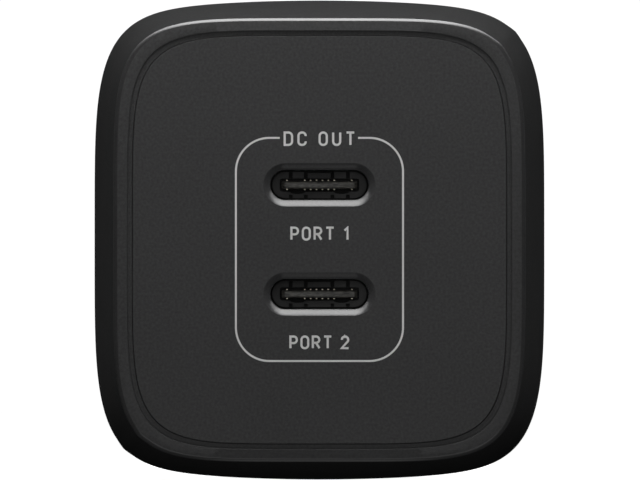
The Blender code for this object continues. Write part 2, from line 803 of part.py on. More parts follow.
def add_electrolytic(name, radius, length, look, location, turn):
    """Aluminium can with a rolled groove near its rubber end."""
    rolled = 0.86 * radius
    edge = 0.12 * radius
    groove = 0.14 * length
    profile = [
        (0, length), (radius - edge, length), (radius, length - edge), (radius, groove + edge),
        (rolled, groove), (radius, groove - edge), (radius, edge), (radius - edge, 0), (0, 0),
    ]
    add_turned(name, profile, look, location, turn, 24)


def add_choke(ferrite, copper):
    """Toroid standing on the board, with one winding on each side."""
    centre = (9.0, -17.9, SEAT + 5.9)
    inner, outer, half = 2.7, 4.9, 1.9
    ring = [(inner, half), (outer, half), (outer, -half), (inner, -half), (inner, half)]
    add_turned("choke_core", ring, ferrite, centre, (90, 0, 0), 32)
    wire = 0.3
    clear = wire + FIT_GAP
    turns = 7
    for side in (-1, 1):
        points = []
        loop = [
            (outer + clear, half + clear), (outer + clear, -half - clear),
            (inner - clear, -half - clear), (inner - clear, half + clear),
        ]
        for turn in range(turns):
            for corner, (radius, depth) in enumerate(loop):
                share = (turn + corner / 4) / turns
                angle = math.radians(side * 90 - 90 - 62 + 124 * share)
                points.append((radius * math.cos(angle), depth, radius * math.sin(angle)))
        name = f"choke_winding_{(side + 3) // 2}"
        add_part(name, pipe_mesh(name, points, wire), copper, centre)


def add_disc(name, centre, radius, thickness, look):
    """Lacquered disc standing on the board, facing Y."""
    edge = 0.35 * thickness
    half = thickness / 2
    profile = [
        (0, half), (radius - edge, half), (radius, half - edge),
        (radius, edge - half), (radius - edge, -half), (0, -half),
    ]
    add_turned(name, profile, look, centre, (90, 0, 0), 24)


def add_electronics():
    ferrite = material("ferrite", FERRITE, 0.5)
    chip = material("chip_epoxy", CHIP_BLACK, 0.4)
    copper = material("copper_winding", COPPER, 0.35, 0.9)
    aluminium = material("aluminium", ALUMINIUM, 0.35, 1.0)
    sleeve = material("capacitor_sleeve", (0.04, 0.07, 0.16), 0.35)
    film_yellow = material("film_yellow", (0.85, 0.55, 0.05), 0.5)
    disc_blue = material("disc_blue", (0.05, 0.16, 0.42), 0.45)
    disc_green = material("disc_green", (0.05, 0.20, 0.10), 0.45)
    ceramic = material("fuse_ceramic", (0.80, 0.78, 0.72), 0.4)
    white_plastic = material("white_plastic", (0.75, 0.74, 0.70), 0.5)
    pad = material("thermal_pad", (0.35, 0.45, 0.55), 0.8)
    film = material("insulation_film", (0.62, 0.55, 0.35), 0.3)

    add_boards(material("circuit_board", BOARD_GREEN, 0.45))
    add_transformer(ferrite, white_plastic, material("transformer_tape", (0.75, 0.60, 0.12), 0.45))
    add_choke(ferrite, copper)
    for number, x in enumerate((-7.2, 7.2), 1):
        add_electrolytic(f"bulk_capacitor_{number}", 5.9, 21.5, sleeve, (x, -15.2, 9.0), (90, 0, 0))
    for number, x in enumerate((-11.2, 11.2), 1):
        add_electrolytic(f"output_capacitor_{number}", 2.8, 8.0, aluminium, (x, -38.2, SEAT), (0, 0, 0))
    add_disc("y_capacitor", (-1.2, -20.1, SEAT + 3.1), 2.8, 2.2, disc_blue)
    add_disc("thermistor", (-1.2, -16.4, SEAT + 2.9), 2.6, 1.8, disc_green)
    cap, body, half = 1.7, 1.5, 4.0
    fuse = [
        (0, half), (cap, half), (cap, half - 1.6), (body, half - 1.6),
        (body, 1.6 - half), (cap, 1.6 - half), (cap, -half), (0, -half),
    ]
    add_turned("fuse", fuse, ceramic, (-9.6, -16.6, SEAT + cap), (0, 90, 0), 24)

    under = MAIN_BOARD_TOP - BOARD_THICKNESS - GAP
    behind = PORT_BOARD_REAR + GAP
    link_rear = MAIN_BOARD_FRONT + 2.2
    boxes = {
        "x_capacitor": ((5.4, -33.6, SEAT), (12.6, -23.6, SEAT + 11.0), film_yellow, 0.5),
        "bridge_rectifier": ((-13.2, -21.8, SEAT), (-5.2, -19.6, SEAT + 7.6), chip, 0.3),
        "optocoupler": ((3.2, -38.2, SEAT), (7.4, -35.6, SEAT + 2.2), chip, 0.2),
        "sync_rectifier": ((-2.6, -38.2, SEAT), (2.2, -35.6, SEAT + 1.0), chip, 0.15),
        "gan_switch": ((-10.0, -27.0, under - 0.9), (-2.0, -21.0, under), chip, 0.15),
        "primary_controller": ((1.5, -23.0, under - 0.9), (6.5, -18.0, under), chip, 0.15),
        "pd_controller": ((-2.5, behind, -2.5), (2.5, behind + 0.9, 2.5), chip, 0.15),
        "buck_inductor_1": ((-10.6, behind, 5.2), (-4.2, behind + 3.2, 11.6), ferrite, 0.4),
        "buck_inductor_2": ((4.2, behind, 5.2), (10.6, behind + 3.2, 11.6), ferrite, 0.4),
        "board_connector": ((-5.0, MAIN_BOARD_FRONT, SEAT), (5.0, link_rear, SEAT + 2.5), white_plastic, 0.2),
        "isolation_barrier": ((-13.6, -35.2, SEAT), (13.6, -34.8, 2.6), film, 0.0),
        "thermal_pad": ((-12.6, -33.6, 1.7), (2.6, -23.2, 2.8), pad, 0.0),
    }
    for name, (low, high, look, bevel) in boxes.items():
        add_box(name, low, high, look, bevel)

    spreaders = {
        "heat_spreader_primary": (
            [(9.0, 16.1), (-9.6, 16.1), (-14.3, 11.4), (-14.3, -9.0)],
            (-35.4, -16.0),
        ),
        "heat_spreader_secondary": ([(14.4, 9.0), (14.4, -12.6)], (-41.0, -24.0)),
    }
    for name, (path, (near, far)) in spreaders.items():
        add_plate(name, strip_outline(path, 0.6), near, far, copper)


def main():
    black = material("black_plastic", BLACK_PLASTIC, 0.5)
    panel_black = material("panel_plastic", BLACK_PLASTIC, 0.55)
    dark_nylon = material("dark_nylon", (0.02, 0.02, 0.02), 0.5)
    nickel = material("nickel_plate", NICKEL, 0.25, 1.0)
    steel = material("port_steel", STEEL, 0.3, 1.0)
    spring_bronze = material("spring_bronze", (0.70, 0.50, 0.25), 0.3, 1.0)
    zinc = material("zinc_screw", (0.66, 0.66, 0.68), 0.35, 1.0)

    add_housing(black)
    add_front_panel(panel_black)
    add_rear_cover(black)
    add_liner(material("liner_film", (0.08, 0.08, 0.09), 0.35))
    for port, height in PORT_HEIGHTS.items():
        add_port(port, height, steel, material(f"{port}_insulator", (0.012, 0.012, 0.012), 0.4))
    add_plug(dark_nylon, nickel)
    add_retainer(dark_nylon, zinc)
    add_springs(spring_bronze)
    add_wires({
        "live": material("wire_black", (0.03, 0.03, 0.03), 0.5),
        "neutral": material("wire_white", (0.8, 0.8, 0.78), 0.5),
    })
    add_electronics()


main()
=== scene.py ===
"""Looks for the USB wall charger: a moulded black case, a printed front panel and two USB-C ports.

Lengths are written in millimetres, and mm() turns them into metres. The case, the panel and the ports take
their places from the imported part's own boxes. Sections run round the Y axis, from the right (+X) over the
top (+Z).
"""

import json
import math

import bmesh
import bpy
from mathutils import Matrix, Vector


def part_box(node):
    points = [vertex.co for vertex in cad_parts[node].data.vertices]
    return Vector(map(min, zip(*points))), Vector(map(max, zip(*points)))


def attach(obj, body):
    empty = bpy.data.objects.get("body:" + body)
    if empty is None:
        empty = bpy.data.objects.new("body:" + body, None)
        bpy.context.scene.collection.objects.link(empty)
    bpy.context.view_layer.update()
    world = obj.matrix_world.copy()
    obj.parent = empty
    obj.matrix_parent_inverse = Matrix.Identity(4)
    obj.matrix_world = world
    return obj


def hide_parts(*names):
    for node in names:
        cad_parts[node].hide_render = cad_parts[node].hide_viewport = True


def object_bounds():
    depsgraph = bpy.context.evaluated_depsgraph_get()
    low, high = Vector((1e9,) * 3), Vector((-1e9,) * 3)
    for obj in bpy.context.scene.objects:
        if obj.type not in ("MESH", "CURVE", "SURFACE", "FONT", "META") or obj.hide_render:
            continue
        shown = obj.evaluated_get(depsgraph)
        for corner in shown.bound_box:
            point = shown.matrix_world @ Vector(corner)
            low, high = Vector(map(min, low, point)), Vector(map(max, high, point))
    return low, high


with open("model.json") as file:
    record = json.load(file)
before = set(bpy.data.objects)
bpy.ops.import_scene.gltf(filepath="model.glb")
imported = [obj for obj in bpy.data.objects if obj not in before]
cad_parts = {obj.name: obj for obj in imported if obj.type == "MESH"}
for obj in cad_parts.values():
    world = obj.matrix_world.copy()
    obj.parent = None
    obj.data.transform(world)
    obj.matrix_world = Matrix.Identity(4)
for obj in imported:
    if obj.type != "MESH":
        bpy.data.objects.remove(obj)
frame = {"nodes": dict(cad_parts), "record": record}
cad_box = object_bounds()

MM = 0.001
WELD_DISTANCE = 0.0001
SHARP_ANGLE = math.radians(30)
FLAT_FACING = 0.999

# Outlines: rounded squares, whose powers set how tight their corners are
OUTLINE_POINTS = 320
REACH_RANGE = (0.9, 1.4)
REACH_HALVINGS = 40
CORNER_CROWDING = 0.5
SIDE_POWER = 7.6
CROWN_POWER = 4.52
CROWN_DROP = 0.063
FRONT_POWER = 5.45
CREASE_HEIGHT = 0.08
CREASE_REACH = 0.9

# Case and panel
FLARE_SIDE = 1.9
FLARE_TOP = 1.77
FLARE_DEPTH = 18.0
FLARE_RINGS = 24
WALL = 1.8
PANEL_THICKNESS = 2.0
GROOVE_WIDTH = 0.45
GROOVE_DEPTH = 0.2
GROOVE_SOFTNESS = 0.02
RELIEF_WIDTH = 0.08
RELIEF_DEPTH = 0.1
RELIEF_LEAN = 0.01
FIT_GAP = 0.1
OVERCUT = 1.0
POCKET_MARGIN = 0.035
LEDGE_GAP = 0.3
LEDGE_WIDTH = 1.4
LEDGE_THICKNESS = 1.3
RIM_CHAMFER = 0.22
RIM_CHAMFER_DEPTH = 0.16
BEZEL_FALL = 0.1
EDGE_SOFTNESS = 0.04
PANEL_EDGE = 0.05
PANEL_EDGE_STEPS = 4
# The case's rounded rear edge: distance before its rear end, inset
REAR_EDGE = ((0.0, 0.14), (0.01, 0.1), (0.04, 0.04), (0.1, 0.01), (0.14, 0.0), (0.2, 0.0), (1.0, 0.0))
SEAM_DEPTH = 0.45
SEAM_TONGUE = 0.25
SEAM_RING = 0.1

# Ports
PORT_WIDTH = 8.34
PORT_HEIGHT = 2.56
PORT_CHAMFER = 0.55
PORT_CHAMFER_DEPTH = 0.4
SHELL_WALL = 0.3
SHELL_LIP = 0.06
TONGUE_WIDTH = 6.4
TONGUE_HEIGHT = 0.66
TONGUE_CORNER = 0.12
# The tongue's tip: depth behind its front end, inset of its sides, inset of its faces
TONGUE_TIP = ((0.0, 0.27, 0.13), (0.02, 0.23, 0.1), (0.3, 0.03, 0.01), (0.4, 0.0, 0.0))
REAR_WALL_DEPTH = 2.0
REAR_WALL_THICKNESS = 0.9
BASE_GAP = 0.1
BASE_MARGIN = 0.02
WALL_GAP = 0.16
NOTCH_HALF_WIDTH = 1.0
NOTCH_DEPTH = 0.09
SLIT_WIDTH = 0.32
SLIT_PLACES = (-2.44, -1.16, 1.1, 2.42)
SLIT_HEIGHTS = ((0.575, 1.105), (-1.105, -0.82))
CONTACT_PLACES = (0.25, 0.75, 1.25, 2.75)
CONTACT_HALF_WIDTH = 0.07
CONTACT_HEIGHTS = (0.33, 0.43)
CONTACT_SETBACK = 0.55
CONTACT_EDGE = 0.025

# Print
PRINT_HEIGHT = 0.012
PRINT_GAP = 0.001
MITRE_LIMIT = 0.5
PRINT_STROKE = 0.185
SPACE_WIDTH = 0.1
FRAME_STROKE = 0.165
FRAME_HALF_WIDTH = 7.07
FRAME_TOP = 8.64
FRAME_BOTTOM = -10.24
FRAME_CORNER = 2.84
FRAME_CORNER_STEPS = 24
TITLE_GAP = (-3.36, 3.27)
# Words: piece, text, height of their middle, height of their capitals, width
WORDS = (
    ("print_title", "DC OUT", 8.57, 1.23, 6.07),
    ("print_port_1", "PORT 1", 0.54, 1.19, 4.93),
    ("print_port_2", "PORT 2", -8.66, 1.17, 5.10),
)

# Colours
CASE_BLACK = (0.042, 0.042, 0.0425)
# Lighter than the case's black: painted light on the chamfers of the port mouths
MOUTH_PAINTED_LIGHT_BLACK = (0.050, 0.050, 0.051)
PRINT_GREY = (0.66, 0.66, 0.65)
NICKEL = (0.72, 0.71, 0.69)
PORT_WALL_BLACK = (0.008, 0.008, 0.008)
PORT_BASE_BLACK = (0.002, 0.002, 0.002)
TONGUE_GREY = (0.062, 0.060, 0.053)
CONTACT_GOLD = (0.47, 0.44, 0.36)
FLOOR_WHITE = (0.86, 0.86, 0.86)
WHITE = (1.0, 1.0, 1.0)

# Grain: the part of the noise's range that is used, and how many times its size the patches are
NOISE_RANGE = (0.3, 0.7)
PATCH_SIZE = 40

# Lights: name, place (to the right, in front of the front face, up), width, height, power in watts
LIGHTS = (
    ("top_strip_core", (0, 28, 86), 60, 36, 0.0106),
    ("top_strip_middle", (0, 28, 87), 120, 36, 0.0272),
    ("top_strip_wide", (0, 28, 88), 350, 36, 0.079),
    ("front_fill", (0, 900, 60), 300, 300, 1.98),
    ("front_low", (0, 300, -200), 420, 280, 0.092),
    ("low_strip", (0, 28, -86), 28, 20, 0.00045),
    ("side_left", (-200, -150, 30), 120, 120, 0.012),
    ("side_right", (200, -150, 30), 120, 120, 0.012),
    ("rear_fill", (0, -140, 0), 36, 38, 0.012),
)

# Spots on the plug side: name, place (to the right, behind the wall face, up), cone in degrees, watts
REAR_SPOTS = (
    ("rear_spot_left", (-90, 150, 110), 19, 0.5),
    ("rear_spot_right", (90, 150, 80), 19, 0.25),
)
SPOT_TARGET = (0, 6, 0)
SPOT_BLEND = 0.5
SPOT_RADIUS = 20

# Stage
FLOOR_RADIUS = 600
FLOOR_GAP = 0.2
WORLD_STRENGTH = 1.05
CAMERA_LENS = 1000.0
SENSOR_WIDTH = 36.0
VIEW_WIDTH = 54.15
CAMERA_SIDESTEP = 0.046
CAMERA_REACH = 50000


def mm(*values):
    return Vector(values) * MM


def box_mm(node):
    low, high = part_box(node)
    return Vector(low) / MM, Vector(high) / MM


HOUSING_LOW, HOUSING_HIGH = box_mm("main_housing")
PANEL_HIGH = box_mm("front_panel")[1]
FRONT = HOUSING_LOW.y
HOUSING_REAR = HOUSING_HIGH.y
HALF_WIDTH = HOUSING_HIGH.x
HALF_HEIGHT = HOUSING_HIGH.z
PANEL_HALF_WIDTH = PANEL_HIGH.x
PANEL_HALF_HEIGHT = PANEL_HIGH.z


# Materials ----------------------------------------------------------------------------------------------

def start_material(name):
    look = bpy.data.materials.new(name)
    look.use_nodes = True
    return look, look.node_tree, look.node_tree.nodes["Principled BSDF"]


def noise(tree, scale, detail=2.0, stretch=(1, 1, 1)):
    """Noise in object space; the scale counts features per metre."""
    place = tree.nodes.new("ShaderNodeTexCoord")
    mapping = tree.nodes.new("ShaderNodeMapping")
    mapping.inputs["Scale"].default_value = stretch
    texture = tree.nodes.new("ShaderNodeTexNoise")
    texture.inputs["Scale"].default_value = scale
    texture.inputs["Detail"].default_value = detail
    tree.links.new(place.outputs["Object"], mapping.inputs["Vector"])
    tree.links.new(mapping.outputs["Vector"], texture.inputs["Vector"])
    return texture.outputs["Fac"]


def spread(tree, source, low, high):
    """The noise stretched over the range from low to high."""
    step = tree.nodes.new("ShaderNodeMapRange")
    step.inputs["From Min"].default_value = NOISE_RANGE[0]
    step.inputs["From Max"].default_value = NOISE_RANGE[1]
    step.inputs["To Min"].default_value = low
    step.inputs["To Max"].default_value = high
    tree.links.new(source, step.inputs["Value"])
    return step.outputs["Result"]


def tint(tree, source, dark, light):
    step = tree.nodes.new("ShaderNodeMix")
    step.data_type = "RGBA"
    step.inputs["A"].default_value = (*dark, 1.0)
    step.inputs["B"].default_value = (*light, 1.0)
    tree.links.new(source, step.inputs["Factor"])
    return step.outputs["Result"]


def textured(
    name, colour, roughness, metallic=0.0, grain=6000.0, stretch=(1, 1, 1), relief=0.004, change=0.12,
    roughness_change=0.05, specular=0.5,
):
    """A surface whose fine grain shifts its colour and raises a relief in mm; patches shift its roughness."""
    look, tree, shader = start_material(name)
    shader.inputs["Metallic"].default_value = metallic
    shader.inputs["Specular IOR Level"].default_value = specular
    fine = noise(tree, grain, 3.0, stretch)
    patches = noise(tree, grain / PATCH_SIZE, 2.0)
    dark = [channel * (1 - change) for channel in colour]
    light = [channel * (1 + change) for channel in colour]
    colour_source = spread(tree, fine, 0.0, 1.0)
    tree.links.new(tint(tree, colour_source, dark, light), shader.inputs["Base Color"])
    rough = spread(tree, patches, roughness - roughness_change, roughness + roughness_change)
    tree.links.new(rough, shader.inputs["Roughness"])
    bump = tree.nodes.new("ShaderNodeBump")
    bump.inputs["Strength"].default_value = 1.0
    bump.inputs["Distance"].default_value = relief * MM
    tree.links.new(fine, bump.inputs["Height"])
    tree.links.new(bump.outputs["Normal"], shader.inputs["Normal"])
    return look


# Outlines and solids ------------------------------------------------------------------------------------

def outline_reach(u, v, side_power, crown_power, crown_drop):
    """How far an outline lies from the middle in direction (u, v), as a share of the half sizes."""
    low, high = REACH_RANGE
    for _ in range(REACH_HALVINGS):
        reach = (low + high) / 2
        across = reach * abs(u)
        up = reach * abs(v) / (1 - crown_drop * across**2)
        if across**side_power + up**crown_power > 1:
            high = reach
        else:
            low = reach
    return (low + high) / 2


def unit_outline(side_power, crown_power, crown_drop=0.0):
    """Points of a rounded square with half sizes of 1, closer together near its corners."""
    points = []
    for i in range(OUTLINE_POINTS):
        phase = 2 * math.pi * i / OUTLINE_POINTS
        angle = phase + CORNER_CROWDING / 4 * math.sin(4 * phase)
        u, v = math.cos(angle), math.sin(angle)
        reach = outline_reach(u, v, side_power, crown_power, crown_drop)
        points.append((u * reach, v * reach))
    return points


BODY_OUTLINE = unit_outline(SIDE_POWER, CROWN_POWER, CROWN_DROP)
FRONT_OUTLINE = unit_outline(FRONT_POWER, FRONT_POWER)
CREASE_POINTS = (OUTLINE_POINTS // 8, OUTLINE_POINTS * 5 // 8)


def add_crease(outline, height):
    """Lifts the upper right and lower left corners of the outline to a low edge."""
    corner = Vector(outline[CREASE_POINTS[0]])
    creased = []
    for point in map(Vector, outline):
        distance = min((point - corner).length, (point + corner).length)
        lift = height * max(0.0, 1 - distance / CREASE_REACH)
        creased.append(point * (1 + lift / point.length))
    return creased


def body_section(y, inset=0.0, crease=CREASE_HEIGHT):
    """Section of the body at depth y, drawn in by the inset. Its outline turns into the front's."""
    flare = max(0.0, 1 - (y - FRONT) / FLARE_DEPTH) ** 2
    straight_size = (HALF_WIDTH - inset, HALF_HEIGHT - inset)
    front_size = (straight_size[0] - FLARE_SIDE, straight_size[1] - FLARE_TOP)
    outline = []
    for straight, front in zip(BODY_OUTLINE, FRONT_OUTLINE):
        outline.append([
            straight[axis] * straight_size[axis] * (1 - flare) + front[axis] * front_size[axis] * flare
            for axis in (0, 1)
        ])
    return [(x, y, z) for x, z in add_crease(outline, crease)]


def panel_section(depth, margin):
    """The panel's outline, grown by the margin, at a depth behind the front face."""
    half_width, half_height = PANEL_HALF_WIDTH + margin, PANEL_HALF_HEIGHT + margin
    return [(x * half_width, FRONT + depth, z * half_height) for x, z in FRONT_OUTLINE]


def solid_from_rings(rings, closed_on_itself=False):
    """Skin over rings of points: its ends are capped, or the last ring joins the first."""
    shape = bmesh.new()
    loops = [[shape.verts.new(mm(*point)) for point in ring] for ring in rings]
    pairs = list(zip(loops, loops[1:]))
    if closed_on_itself:
        pairs.append((loops[-1], loops[0]))
    count = len(loops[0])
    for near, far in pairs:
        for i in range(count):
            j = (i + 1) % count
            shape.faces.new((near[i], near[j], far[j], far[i])).smooth = True
    if not closed_on_itself:
        shape.faces.new(list(reversed(loops[0])))
        shape.faces.new(loops[-1])
    bmesh.ops.recalc_face_normals(shape, faces=shape.faces)
    return shape


def add_object(name, shape, *looks):
    mesh = bpy.data.meshes.new(name)
    shape.to_mesh(mesh)
    shape.free()
    mesh.set_sharp_from_angle(angle=SHARP_ANGLE)
    obj = bpy.data.objects.new(name, mesh)
    bpy.context.scene.collection.objects.link(obj)
    for look in looks:
        mesh.materials.append(look)
    return obj


def carve(obj, cutters):
    """Cuts the cutters out of obj and removes them. Faces that look forward or back stay flat."""
    for cutter in cutters:
        step = obj.modifiers.new(cutter.name, "BOOLEAN")
        step.operation = "DIFFERENCE"
        step.solver = "EXACT"
        step.object = cutter
    evaluated = obj.evaluated_get(bpy.context.evaluated_depsgraph_get())
    mesh = bpy.data.meshes.new_from_object(evaluated)
    obj.modifiers.clear()
    obj.data = mesh
    for cutter in cutters:
        bpy.data.objects.remove(cutter, do_unlink=True)
    mesh.set_sharp_from_angle(angle=SHARP_ANGLE)
    for face in mesh.polygons:
        face.use_smooth = abs(face.normal.y) < FLAT_FACING


def arc(centre, radius, start, end, steps):
    return [
        (
            centre[0] + radius * math.cos(math.radians(start + (end - start) * i / steps)),
            centre[1] + radius * math.sin(math.radians(start + (end - start) * i / steps)),
        )
        for i in range(steps + 1)
    ]


def stadium(width, height, steps=24):
    radius = height / 2
    middle = width / 2 - radius
    return arc((middle, 0), radius, -90, 90, steps) + arc((-middle, 0), radius, 90, 270, steps)


def rounded_box_outline(width, height, radius, steps=6):
    x, z = width / 2 - radius, height / 2 - radius
    corners = (((x, -z), -90), ((x, z), 0), ((-x, z), 90), ((-x, -z), 180))
    return [point for centre, start in corners for point in arc(centre, radius, start, start + 90, steps)]


def port_ring(y, height, margin):
    """The port opening's outline, grown by the margin, at the port's height."""
    outline = stadium(PORT_WIDTH + 2 * margin, PORT_HEIGHT + 2 * margin)
    return [(x, y, z + height) for x, z in outline]


# Case and panel -----------------------------------------------------------------------------------------

def chamfer_steps(width, depth):
    """Depths and insets of a chamfer whose two edges are softened."""
    soft = EDGE_SOFTNESS
    return (
        (0.0, width + soft),
        (soft * 0.15, width + soft * 0.3),
        (soft * 0.5, width - soft * 0.4),
        (depth - soft * 0.4, soft * 0.5),
        (depth, soft * 0.15),
        (depth + soft, 0.0),
    )


def add_case(look, edge_look):
    """Case, skinned from its rear edge over its outside, its rim and its groove to its inside."""
    rear = HOUSING_REAR
    rings = [body_section(rear - depth, inset) for depth, inset in REAR_EDGE]
    straight = FRONT + FLARE_DEPTH
    rings.append(body_section((rear + straight) / 2))
    first_rim = FRONT + BEZEL_FALL + RIM_CHAMFER_DEPTH + 2 * EDGE_SOFTNESS
    for i in range(FLARE_RINGS):
        rings.append(body_section(straight + (first_rim - straight) * i / FLARE_RINGS))
    rim_start = len(rings)
    for depth, inset in reversed(chamfer_steps(RIM_CHAMFER, RIM_CHAMFER_DEPTH)):
        rings.append(body_section(FRONT + BEZEL_FALL + depth, inset))
    rim_end = len(rings)
    ledge_front = PANEL_THICKNESS + LEDGE_GAP
    for depth, margin in (
        (0.0, GROOVE_WIDTH + EDGE_SOFTNESS),
        (EDGE_SOFTNESS * 0.3, GROOVE_WIDTH + EDGE_SOFTNESS * 0.3),
        (EDGE_SOFTNESS, GROOVE_WIDTH),
        (GROOVE_DEPTH + RELIEF_DEPTH, GROOVE_WIDTH),
        (GROOVE_DEPTH + RELIEF_DEPTH, GROOVE_WIDTH - RELIEF_WIDTH),
        (GROOVE_DEPTH, GROOVE_WIDTH - RELIEF_WIDTH - RELIEF_LEAN),
        (GROOVE_DEPTH, POCKET_MARGIN + GROOVE_SOFTNESS),
        (GROOVE_DEPTH + GROOVE_SOFTNESS, POCKET_MARGIN),
        (ledge_front, POCKET_MARGIN),
        (ledge_front, -LEDGE_WIDTH),
        (ledge_front + LEDGE_THICKNESS, -LEDGE_WIDTH),
    ):
        rings.append(panel_section(depth, margin))
    ledge_rear = FRONT + ledge_front + LEDGE_THICKNESS
    tongue_rear = rear + SEAM_TONGUE
    for y in (ledge_rear, FRONT + FLARE_DEPTH / 2, straight, rear - SEAM_RING, tongue_rear):
        rings.append(body_section(y, WALL, 0.0))
    rings += [body_section(tongue_rear, SEAM_DEPTH), body_section(rear, SEAM_DEPTH)]
    shape = solid_from_rings(rings, closed_on_itself=True)
    shape.verts.ensure_lookup_table()
    shape.faces.ensure_lookup_table()
    for face_index in range(rim_start * OUTLINE_POINTS, (rim_end - 1) * OUTLINE_POINTS):
        shape.faces[face_index].material_index = 1
    for ring_index in range(rim_end - 1):
        for point in CREASE_POINTS:
            near = shape.verts[ring_index * OUTLINE_POINTS + point]
            far = shape.verts[(ring_index + 1) * OUTLINE_POINTS + point]
            shape.edges.get((near, far)).smooth = False
    case = add_object("case_shell", shape, look, edge_look)
    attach(case, "charger_body")
    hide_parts("main_housing")


def port_heights():
    """Height of each port's middle."""
    return {port: sum(box.z for box in box_mm(f"{port}_shell")) / 2 for port in ("port_1", "port_2")}


def add_panel(look, edge_look):
    """Panel with rounded front edges, cut open by each port's chamfered mouth and its shell's pocket."""
    rings = []
    for step in range(PANEL_EDGE_STEPS + 1):
        turn = math.pi / 2 * step / PANEL_EDGE_STEPS
        rings.append(panel_section(PANEL_EDGE * (1 - math.cos(turn)), PANEL_EDGE * (math.sin(turn) - 1)))
    rings.append(panel_section(PANEL_THICKNESS, 0.0))
    panel = add_object("panel_plate", solid_from_rings(rings), look, edge_look)
    cutters = []
    steps = chamfer_steps(PORT_CHAMFER, PORT_CHAMFER_DEPTH)
    behind = FRONT + PANEL_THICKNESS + OVERCUT
    for port, height in port_heights().items():
        rings = [port_ring(FRONT - OVERCUT, height, PORT_CHAMFER + EDGE_SOFTNESS)]
        rings += [port_ring(FRONT + depth, height, inset) for depth, inset in steps]
        rings.append(port_ring(behind, height, 0.0))
        shape = solid_from_rings(rings)
        for face in shape.faces:
            face.material_index = 1
        cutters.append(add_object(f"{port}_mouth", shape, look, edge_look))
        pocket_ends = (box_mm(f"{port}_shell")[0].y - FIT_GAP, behind)
        pocket = [port_ring(y, height, SHELL_WALL + FIT_GAP) for y in pocket_ends]
        cutters.append(add_object(f"{port}_pocket", solid_from_rings(pocket), look))
    carve(panel, cutters)
    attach(panel, "charger_body")
    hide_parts("front_panel")


# Ports --------------------------------------------------------------------------------------------------

def plate_from_outlines(outlines, near, far):
    """Plate between two depths, from outlines in X and Z; an outline inside another is a hole."""
    curve = bpy.data.curves.new("plate", "CURVE")
    curve.dimensions = "2D"
    curve.fill_mode = "BOTH"
    curve.extrude = (far - near) * MM / 2
    for outline in outlines:
        spline = curve.splines.new("POLY")
        spline.points.add(len(outline) - 1)
        spline.use_cyclic_u = True
        for point, (x, z) in zip(spline.points, outline):
            point.co = (x * MM, z * MM, 0.0, 1.0)
    holder = bpy.data.objects.new("plate", curve)
    bpy.context.scene.collection.objects.link(holder)
    evaluated = holder.evaluated_get(bpy.context.evaluated_depsgraph_get())
    mesh = bpy.data.meshes.new_from_object(evaluated)
    bpy.data.objects.remove(holder, do_unlink=True)
    shape = bmesh.new()
    shape.from_mesh(mesh)
    bpy.data.meshes.remove(mesh)
    bmesh.ops.remove_doubles(shape, verts=shape.verts, dist=WELD_DISTANCE * MM)
    for vert in shape.verts:
        x, z, depth = vert.co
        vert.co = (x, (near + far) / 2 * MM - depth, z)
    bmesh.ops.recalc_face_normals(shape, faces=shape.faces)
    return shape


def merge(shapes):
    """One bmesh holding all the others."""
    whole = bmesh.new()
    for shape in shapes:
        mesh = bpy.data.meshes.new("part")
        shape.to_mesh(mesh)
        shape.free()
        whole.from_mesh(mesh)
        bpy.data.meshes.remove(mesh)
    return whole


def soft_box(low, high, edge):
    """Box with softened edges, between two corners."""
    shape = bmesh.new()
    bmesh.ops.create_cube(shape, size=1.0)
    middle = (mm(*low) + mm(*high)) / 2
    size = mm(*high) - mm(*low)
    for vert in shape.verts:
        vert.co = middle + Vector(a * b for a, b in zip(vert.co, size))
    bmesh.ops.bevel(shape, geom=shape.edges, offset=edge * MM, segments=2, profile=0.5, affect="EDGES")
    return shape


def wall_outline():
    """Face of the port's rear wall, with a shallow notch along the middle of its top edge."""
    width, height = PORT_WIDTH - 2 * WALL_GAP, PORT_HEIGHT - 2 * WALL_GAP
    top = height / 2
    floor = top - NOTCH_DEPTH
    outline = stadium(width, height)
    middle = len(outline) // 2
    notch = [
        (NOTCH_HALF_WIDTH, top), (NOTCH_HALF_WIDTH, floor),
        (-NOTCH_HALF_WIDTH, floor), (-NOTCH_HALF_WIDTH, top),
    ]
    return outline[:middle] + notch + outline[middle:]


def slot_outline():
    """Slot round the tongue, with two shallow bays in its lower edge."""
    half_width, half_height, corner = 3.37, 0.56, 0.22
    bay_middle, bay_half, bay_depth = 1.85, 0.66, 0.2
    bay_steps, corner_steps = 12, 6
    x, z = half_width - corner, half_height - corner
    outline = arc((x, z), corner, 0, 90, corner_steps)
    outline += arc((-x, z), corner, 90, 180, corner_steps)
    outline += arc((-x, -z), corner, 180, 270, corner_steps)
    for middle in (-bay_middle, bay_middle):
        for step in range(bay_steps + 1):
            turn = math.pi * step / bay_steps
            outline.append((middle - bay_half * math.cos(turn), -half_height - bay_depth * math.sin(turn)))
    outline += arc((x, -z), corner, 270, 360, corner_steps)
    return outline


def slit_outlines():
    """Narrow slits above and below the slot, beside the ground springs."""
    slits = []
    for x in SLIT_PLACES:
        for bottom, top in SLIT_HEIGHTS:
            left, right = x - SLIT_WIDTH / 2, x + SLIT_WIDTH / 2
            slits.append([(left, bottom), (right, bottom), (right, top), (left, top)])
    return slits


def tongue_shape(near, far, height):
    """Flat tongue whose tip narrows on all sides."""
    half_width, half_height = TONGUE_WIDTH / 2, TONGUE_HEIGHT / 2
    rings = []
    for depth, side_inset, face_inset in (*TONGUE_TIP, (far - near, 0.0, 0.0)):
        width, thickness = 2 * (half_width - side_inset), 2 * (half_height - face_inset)
        outline = rounded_box_outline(width, thickness, TONGUE_CORNER)
        rings.append([(x, near + depth, z + height) for x, z in outline])
    return solid_from_rings(rings)


